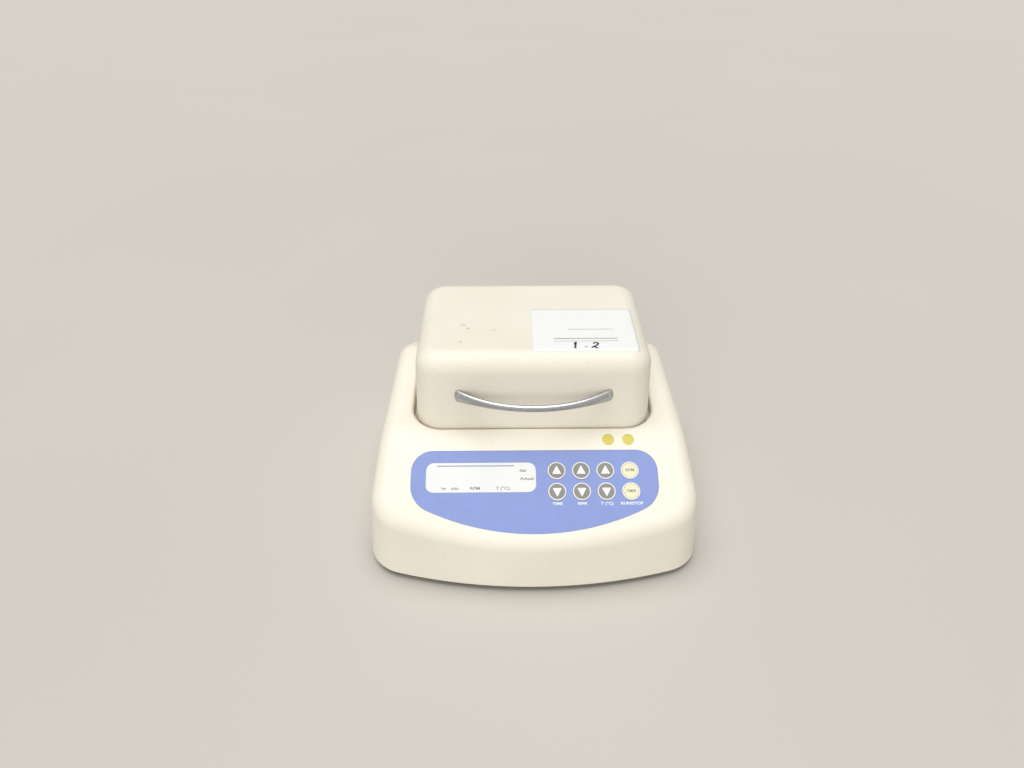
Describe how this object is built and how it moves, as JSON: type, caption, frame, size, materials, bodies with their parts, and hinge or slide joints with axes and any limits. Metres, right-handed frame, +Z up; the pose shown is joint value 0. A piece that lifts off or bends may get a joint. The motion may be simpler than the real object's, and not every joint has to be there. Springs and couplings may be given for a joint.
{
  "type": "thermal mixer",
  "caption": "Bench thermal mixer for a deep-well plate: heated block on an orbital drive under a hinged heated lid, sloped control panel with display and keys.",
  "frame": {"origin": "middle of the case on the bench, under the case's width and depth", "axes": "+X to the right of the control panel, +Y from the panel to the back, +Z up"},
  "size_m": [0.2396, 0.23, 0.14],
  "materials": {
    "case_abs": "moulded ivory ABS, fine matte grain",
    "lid_abs": "moulded ivory ABS, satin",
    "panel_film": "printed polyester membrane, blue",
    "window_film": "clear pane over the display",
    "key_cap": "moulded key, grey with a white ring",
    "key_run": "moulded key, pale yellow",
    "black_plastic": "black glass-filled nylon",
    "liner_plastic": "dark grey high-temperature plastic",
    "rubber": "moulded rubber",
    "silicone": "grey silicone",
    "insulation": "white mineral fibre felt",
    "heater_film": "amber polyimide foil heater",
    "zinc_steel": "zinc-plated sheet steel",
    "screw_steel": "bright zinc-plated screw",
    "bearing_steel": "ground bearing steel",
    "handle_steel": "polished bright steel",
    "block_aluminium": "machined aluminium",
    "cast_aluminium": "cast aluminium",
    "weight_brass": "machined brass",
    "winding": "enamelled copper winding",
    "board_green": "green solder resist on glass-epoxy board",
    "display_glass": "display glass",
    "component_black": "black moulded components"
  },
  "bodies": {
    "base": {"base_plate": "zinc_steel", "base_screws": "screw_steel", "bracket_screws": "screw_steel", "case_shell": "case_abs", "chamber_frame": "black_plastic", "chassis": "zinc_steel", "chassis_posts": "weight_brass", "chassis_screws": "screw_steel", "control_board": "board_green", "dc_socket": "black_plastic", "dc_socket_nut": "screw_steel", "elastic_posts": "silicone", "front_panel_overlay": "panel_film", "hinge_brackets": "zinc_steel", "hinge_pins": "bearing_steel", "key_switches": "component_black", "lcd_bezel": "zinc_steel", "lcd_glass": "display_glass", "lcd_window": "window_film", "lid_seal": "silicone", "main_board": "board_green", "main_board_parts": "component_black", "motor_bearings": "bearing_steel", "motor_housing": "cast_aluminium", "motor_stator": "winding", "rubber_feet": "rubber", "small_screws": "screw_steel", "switch_housing": "black_plastic"},
    "lid": {"lid_shell": "lid_abs", "lid_liner": "liner_plastic", "lid_heater_plate": "block_aluminium", "lid_heater_foil": "heater_film", "lid_insulation": "insulation", "handle": "handle_steel", "hinge_arms": "zinc_steel", "lid_screws": "screw_steel"},
    "crank": {"rotor_shaft": "bearing_steel", "eccentric_crank": "block_aluminium", "crank_set_screw": "screw_steel", "counterweight": "weight_brass", "bearing_inner_ring": "bearing_steel"},
    "platform": {"bearing_outer_ring": "bearing_steel", "carrier_plate": "cast_aluminium", "insulation_pad": "insulation", "heater_foil": "heater_film", "heater_plate": "block_aluminium", "temperature_probe": "bearing_steel", "well_block": "block_aluminium", "block_screws": "screw_steel"},
    "power_rocker": {"power_rocker": "black_plastic"},
    "key_run_speed": {"key_run_speed": "key_run"},
    "key_run_temp": {"key_run_temp": "key_run"},
    "key_speed_down": {"key_speed_down": "key_cap"},
    "key_speed_up": {"key_speed_up": "key_cap"},
    "key_temp_down": {"key_temp_down": "key_cap"},
    "key_temp_up": {"key_temp_up": "key_cap"},
    "key_time_down": {"key_time_down": "key_cap"},
    "key_time_up": {"key_time_up": "key_cap"}
  },
  "joints": [
    {"name": "lid_hinge", "type": "hinge", "parent": "base", "child": "lid", "pos_m": [0, 0.097, 0.08], "axis": [-1, 0, 0], "range_deg": [0, 85]},
    {"name": "crank_spin", "type": "hinge", "parent": "base", "child": "crank", "pos_m": [0, 0.026, 0.04], "axis": [0, 0, 1], "continuous": true},
    {"name": "platform_orbit", "type": "hinge", "parent": "crank", "child": "platform", "pos_m": [0, 0.027, 0.055], "axis": [0, 0, 1], "continuous": true},
    {"name": "power_rocker_tilt", "type": "hinge", "parent": "base", "child": "power_rocker", "pos_m": [-0.033, 0.1085, 0.034], "axis": [1, 0, 0], "range_deg": [0, 20]},
    {"name": "key_run_speed_press", "type": "slide", "parent": "base", "child": "key_run_speed", "axis": [0, 0.4848, -0.8746], "range_m": [0, 0.0006], "stiffness_N_per_m": 200},
    {"name": "key_run_temp_press", "type": "slide", "parent": "base", "child": "key_run_temp", "axis": [0, 0.4848, -0.8746], "range_m": [0, 0.0006], "stiffness_N_per_m": 200},
    {"name": "key_speed_down_press", "type": "slide", "parent": "base", "child": "key_speed_down", "axis": [0, 0.4848, -0.8746], "range_m": [0, 0.0006], "stiffness_N_per_m": 200},
    {"name": "key_speed_up_press", "type": "slide", "parent": "base", "child": "key_speed_up", "axis": [0, 0.4848, -0.8746], "range_m": [0, 0.0006], "stiffness_N_per_m": 200},
    {"name": "key_temp_down_press", "type": "slide", "parent": "base", "child": "key_temp_down", "axis": [0, 0.4848, -0.8746], "range_m": [0, 0.0006], "stiffness_N_per_m": 200},
    {"name": "key_temp_up_press", "type": "slide", "parent": "base", "child": "key_temp_up", "axis": [0, 0.4848, -0.8746], "range_m": [0, 0.0006], "stiffness_N_per_m": 200},
    {"name": "key_time_down_press", "type": "slide", "parent": "base", "child": "key_time_down", "axis": [0, 0.4848, -0.8746], "range_m": [0, 0.0006], "stiffness_N_per_m": 200},
    {"name": "key_time_up_press", "type": "slide", "parent": "base", "child": "key_time_up", "axis": [0, 0.4848, -0.8746], "range_m": [0, 0.0006], "stiffness_N_per_m": 200}
  ],
  "couplings": [
    {"joint": "platform_orbit", "follows": "crank_spin", "ratio": -1}
  ]
}
